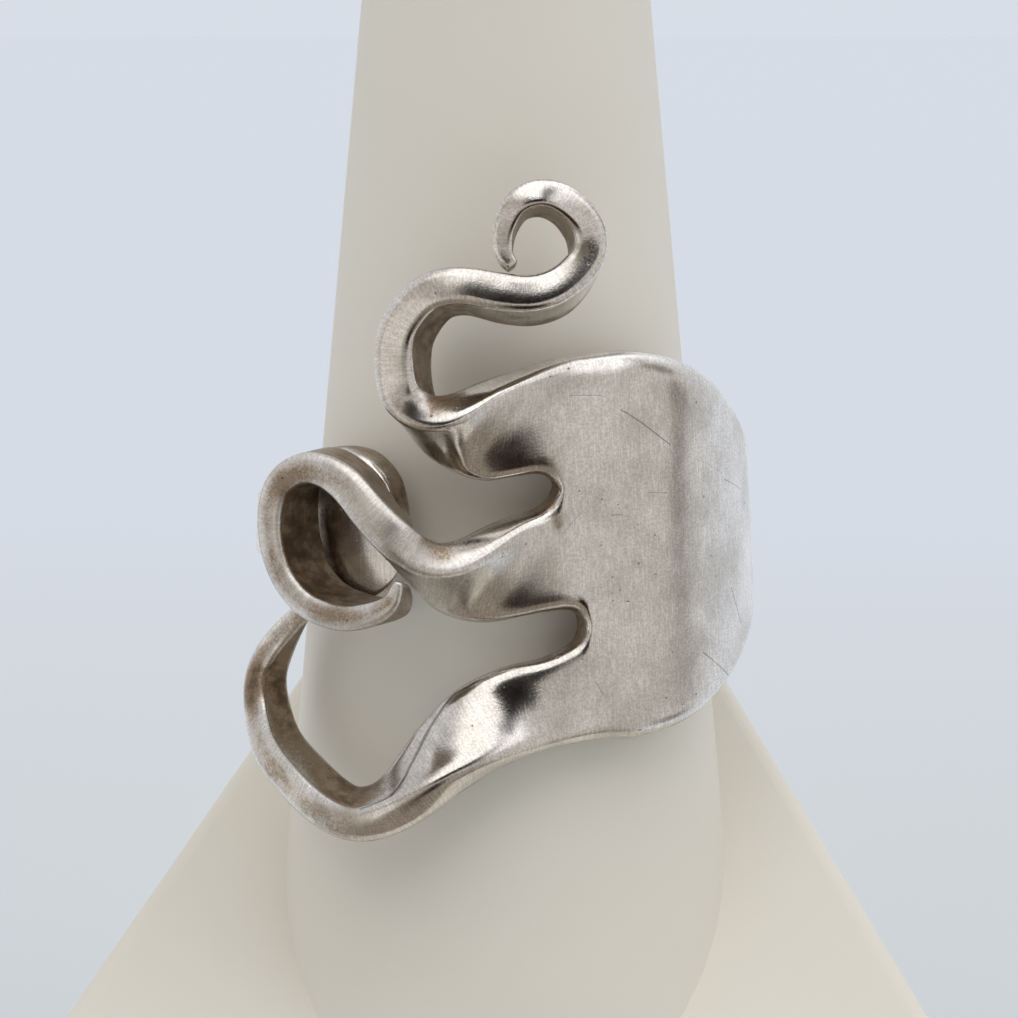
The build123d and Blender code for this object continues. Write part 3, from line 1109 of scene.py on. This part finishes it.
    @staticmethod
    def _crease(bm: bmesh.types.BMesh, layers: Layers) -> None:
        """Creases the long edges of the rim as crisply as their vertices ask.

        Args:
            bm: The ring's mesh.
            layers: The values that each vertex carries.
        """
        crease = bm.edges.layers.float.new("crease_edge")
        rim = {face for face in bm.faces if len({v[layers.side] for v in face.verts}) == 2}
        for edge in bm.edges:
            same_side = edge.verts[0][layers.side] == edge.verts[1][layers.side]
            if same_side and any(face in rim for face in edge.link_faces):
                edge[crease] = (edge.verts[0][layers.crisp] + edge.verts[1][layers.crisp]) / 2

    def _seat(self, mesh: bpy.types.Mesh) -> None:
        """Turns the ring as it sits on the cone and moves it to the CAD ring's place.

        Args:
            mesh: The ring's mesh, in millimetres until then.
        """
        mesh.transform(Matrix.Rotation(math.radians(self.turn), 4, "Z") @ Matrix.Scale(MM, 4))
        low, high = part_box("silver_ring")
        corners = [Vector(vert.co) for vert in mesh.vertices]
        own_low = Vector(map(min, zip(*corners)))
        own_high = Vector(map(max, zip(*corners)))
        shift = Vector(self.seat_shift) * MM
        mesh.transform(Matrix.Translation((low + high) / 2 - (own_low + own_high) / 2 + shift))

    def _wear(self, mesh: bpy.types.Mesh) -> None:
        """Gives the surface its slight unevenness and finds where tarnish stays.

        Args:
            mesh: The ring's mesh in its place, in metres.
        """
        places = [Vector(item.vector) for item in mesh.attributes["flat_place"].data]
        normals = [Vector(item.vector) for item in mesh.vertex_normals]
        points = [vert.co.copy() for vert in mesh.vertices]
        for name, shares in zip(("worn_edge", "hollow"), self._bends(mesh, points, normals)):
            mesh.attributes.new(name, "FLOAT", "POINT").data.foreach_set("value", shares)
        for index, (place, normal) in enumerate(zip(places, normals)):
            wave = noise.noise(place / self.wave_size) * self.wave_depth
            dimple = noise.noise(place / self.dimple_size) * self.dimple_depth
            points[index] += normal * (wave + dimple) * MM
        mesh.vertices.foreach_set("co", [value for point in points for value in point])
        mesh.update()
        tree = BVHTree.FromPolygons(points, [list(face.vertices) for face in mesh.polygons])
        shelter = mesh.attributes.new("shelter", "FLOAT", "POINT").data
        shelter.foreach_set("value", self._shelter(tree, points, normals))

    def _shelter(self, tree: BVHTree, points: list[Vector], normals: list[Vector]) -> list[float]:
        """Finds how much of what each point faces is other silver close by.

        Args:
            tree: The ring's surface.
            points: The points of the surface.
            normals: The surface's direction at each point.

        Returns:
            A share from 0, open, to 1, sheltered, for each point.
        """
        up = Vector((0, 0, 1))
        rays = [up]
        for tilt in self.shelter_tilts:
            leaning = Matrix.Rotation(math.radians(tilt), 3, "X") @ up
            for step in range(self.shelter_turns):
                rays.append(Matrix.Rotation(math.tau * step / self.shelter_turns, 3, "Z") @ leaning)
        reach = self.shelter_reach * MM
        shares = []
        for point, normal in zip(points, normals):
            basis = normal.to_track_quat("Z", "Y").to_matrix()
            start = point + normal * self.shelter_start * MM
            total = 0.0
            for ray in rays:
                distance = tree.ray_cast(start, basis @ ray, reach)[3]
                if distance is not None:
                    total += 1 - distance / reach * self.shelter_fade
            shares.append(total / len(rays))
        return shares

    def _bends(
        self, mesh: bpy.types.Mesh, points: list[Vector], normals: list[Vector]
    ) -> tuple[list[float], list[float]]:
        """Finds the ridges, which rub bright first, and the hollows, which keep their tarnish.

        Args:
            mesh: The ring's mesh.
            points: The points of the surface.
            normals: The surface's direction at each point.

        Returns:
            For each point a share from 0, flat, to 1, a sharp ridge, and one to 1, a hollow.
        """
        ridges = [0.0] * len(points)
        hollows = [0.0] * len(points)
        for edge in mesh.edges:
            first, last = edge.vertices
            run = points[last] - points[first]
            for corner, sign in ((first, -2), (last, 2)):
                bend = sign * normals[corner].dot(run) / run.length_squared * MM
                ridges[corner] = max(ridges[corner], bend / self.sharp_bend)
                hollows[corner] = max(hollows[corner], -bend / self.hollow_bend)
        ridges = [min(1.0, value) for value in ridges]
        hollows = [min(1.0, value) for value in hollows]
        for _ in range(self.hollow_blurs):
            hollows = self._blurred(mesh, hollows)
        return ridges, hollows

    @staticmethod
    def _blurred(mesh: bpy.types.Mesh, values: list[float]) -> list[float]:
        """Evens out each point's value with those of its neighbours.

        Args:
            mesh: The ring's mesh.
            values: A value for each point.

        Returns:
            The evened values.
        """
        totals = list(values)
        counts = [1] * len(values)
        for edge in mesh.edges:
            first, last = edge.vertices
            totals[first] += values[last]
            totals[last] += values[first]
            counts[first] += 1
            counts[last] += 1
        return [total / count for total, count in zip(totals, counts)]


@dataclass
class DisplayCone:
    """The plain ring cone, whose CAD shape is kept and gets its resin finish."""

    finish: CastResin = field(default_factory=CastResin)

    def build(self) -> bpy.types.Object:
        """Dresses the CAD cone.

        Returns:
            The cone's object.
        """
        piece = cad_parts["display_cone"]
        piece.data.materials.clear()
        piece.data.materials.append(self.finish.material())
        return piece


class SkyPatch(NamedTuple):
    """A soft round patch of the studio's surroundings, lighter or darker than the rest."""

    name: str
    azimuth: float
    elevation: float
    core: float
    edge: float
    colour: str
    strength: float


SKY_PATCHES = [
    SkyPatch("ceiling", 0, 90, 25, 60, "FCFCFF", 1.75),
    SkyPatch("grey ceiling behind", 180, 64, 12, 34, "B0AEAC", 1.0),
    SkyPatch("room in front", 0, -5, 50, 85, "BCB6AE", 1.0),
    SkyPatch("dim front floor", 0, -62, 32, 56, "968C80", 1.0),
    SkyPatch("light floor on the left", -38, -10, 10, 24, "E4DFD9", 1.05),
    SkyPatch("pale backdrop behind", 180, -10, 25, 60, "E6EAF2", 1.05),
    SkyPatch("window side", 62, 12, 25, 60, "D5D2CE", 1.0),
    SkyPatch("room side", -105, 30, 30, 60, "DADADC", 1.0),
    SkyPatch("light strip on the left", -98, -2, 6, 24, "E4E1DC", 1.1),
    SkyPatch("dark gap on the right, low", 91, -22, 1, 11, "8A857F", 1.0),
    SkyPatch("dark gap on the right", 91, 0, 1, 10, "8A857F", 1.0),
    SkyPatch("dark gap on the right, high", 91, 20, 1, 11, "928D87", 1.0),
    SkyPatch("softbox", 0, 53, 19, 40, "FEFCF9", 1.60),
    SkyPatch("second softbox", 46, 44, 12, 32, "FCFCFF", 1.5),
    SkyPatch("grey over the dark front", 22, 34, 4, 12, "8C8C8E", 1.0),
    SkyPatch("dark front, high", 15, 24, 4, 8, "2A2726", 0.6),
    SkyPatch("dark front", 7, 16.5, 13, 17, "201D1C", 0.5),
    SkyPatch("dark front, left", -6, 19, 8, 12, "2A2624", 0.5),
    SkyPatch("dark front, low", 13, -26, 8, 19, "3C2C27", 0.5),
]


@dataclass
class Studio:
    """The floor, the light and the camera."""

    floor_radius: float = 6.0
    floor_segments: int = 96
    horizon: str = "E4E9F0"
    zenith: str = "F4F6FA"
    backdrop: str = "D8DEE7"
    camera_distance: float = 160.0
    camera_azimuth: float = 3.0
    camera_elevation: float = 8.0
    target: tuple[float, float, float] = (0.13, 0.007, 34.54)
    focal_pixels: float = 3598.0
    picture_pixels: float = 1018.0
    sensor_width: float = 36.0
    clip_start: float = 0.01
    paper: PalePaper = field(default_factory=PalePaper)

    def build(self) -> None:
        """Builds the whole studio."""
        self._floor()
        self._world()
        self._camera()

    def _floor(self) -> None:
        """Lays the floor as a wide disc."""
        bm = bmesh.new()
        bmesh.ops.create_circle(
            bm, cap_ends=True, segments=self.floor_segments, radius=self.floor_radius,
        )
        mesh = bpy.data.meshes.new("studio_floor")
        bm.to_mesh(mesh)
        bm.free()
        floor = bpy.data.objects.new("studio_floor", mesh)
        bpy.context.scene.collection.objects.link(floor)
        mesh.materials.append(self.paper.material())
        floor.visible_glossy = False

    @staticmethod
    def _direction(azimuth: float, elevation: float) -> Vector:
        """The direction towards an azimuth, 0 being -Y and 90 +X, and an elevation."""
        a, e = math.radians(azimuth), math.radians(elevation)
        return Vector((math.sin(a) * math.cos(e), -math.cos(a) * math.cos(e), math.sin(e)))

    def _world(self) -> None:
        """Paints the surroundings with soft patches of light and dark."""
        world = bpy.data.worlds.new("soft_studio")
        bpy.context.scene.world = world
        world.use_nodes = True
        tree = world.node_tree
        where = add_node(tree, "ShaderNodeTexCoord").outputs["Generated"]
        height = add_node(tree, "ShaderNodeSeparateXYZ", {0: where}).outputs["Z"]
        colour = add_node(
            tree, "ShaderNodeMix",
            {"Factor": height, "A": linear(self.horizon), "B": linear(self.zenith)}, data_type="RGBA",
        ).outputs[2]
        for patch in SKY_PATCHES:
            axis = self._direction(patch.azimuth, patch.elevation)
            facing = add_node(
                tree, "ShaderNodeVectorMath", {0: where, 1: axis}, operation="DOT_PRODUCT",
            ).outputs["Value"]
            fading = Ramp(math.cos(math.radians(patch.edge)), math.cos(math.radians(patch.core)))
            share = add_node(tree, "ShaderNodeMapRange", fading.inputs(facing), **SOFT).outputs[0]
            colour = add_node(
                tree, "ShaderNodeMix",
                {"Factor": share, "A": colour, "B": linear(patch.colour, patch.strength)},
                data_type="RGBA", label=patch.name,
            ).outputs[2]
        seen = add_node(tree, "ShaderNodeLightPath").outputs["Is Camera Ray"]
        shown = add_node(
            tree, "ShaderNodeMix",
            {"Factor": seen, "A": colour, "B": linear(self.backdrop)}, data_type="RGBA",
        ).outputs[2]
        tree.links.new(shown, tree.nodes["Background"].inputs["Color"])

    def _camera(self) -> None:
        """Sets up the camera at the photograph's angle."""
        data = bpy.data.cameras.new("studio_camera")
        camera = bpy.data.objects.new("studio_camera", data)
        bpy.context.scene.collection.objects.link(camera)
        back = self._direction(self.camera_azimuth, self.camera_elevation)
        camera.location = (Vector(self.target) + back * self.camera_distance) * MM
        camera.rotation_mode = "QUATERNION"
        camera.rotation_quaternion = (-back).to_track_quat("-Z", "Y")
        data.sensor_width = self.sensor_width
        data.lens = self.focal_pixels / self.picture_pixels * self.sensor_width
        data.clip_start = self.clip_start
        bpy.context.scene.camera = camera
        bpy.context.scene.view_settings.view_transform = "Standard"


def main() -> None:
    """Builds the studio, the ring and the cone, and logs each piece's vertex count."""
    logging.basicConfig(level=logging.INFO, format="%(name)s: %(message)s")
    Studio().build()
    for maker in (SilverRing(), DisplayCone()):
        piece = maker.build()
        log.info("%s: %d vertices", piece.name, len(piece.data.vertices))


if __name__ == "__main__":
    main()
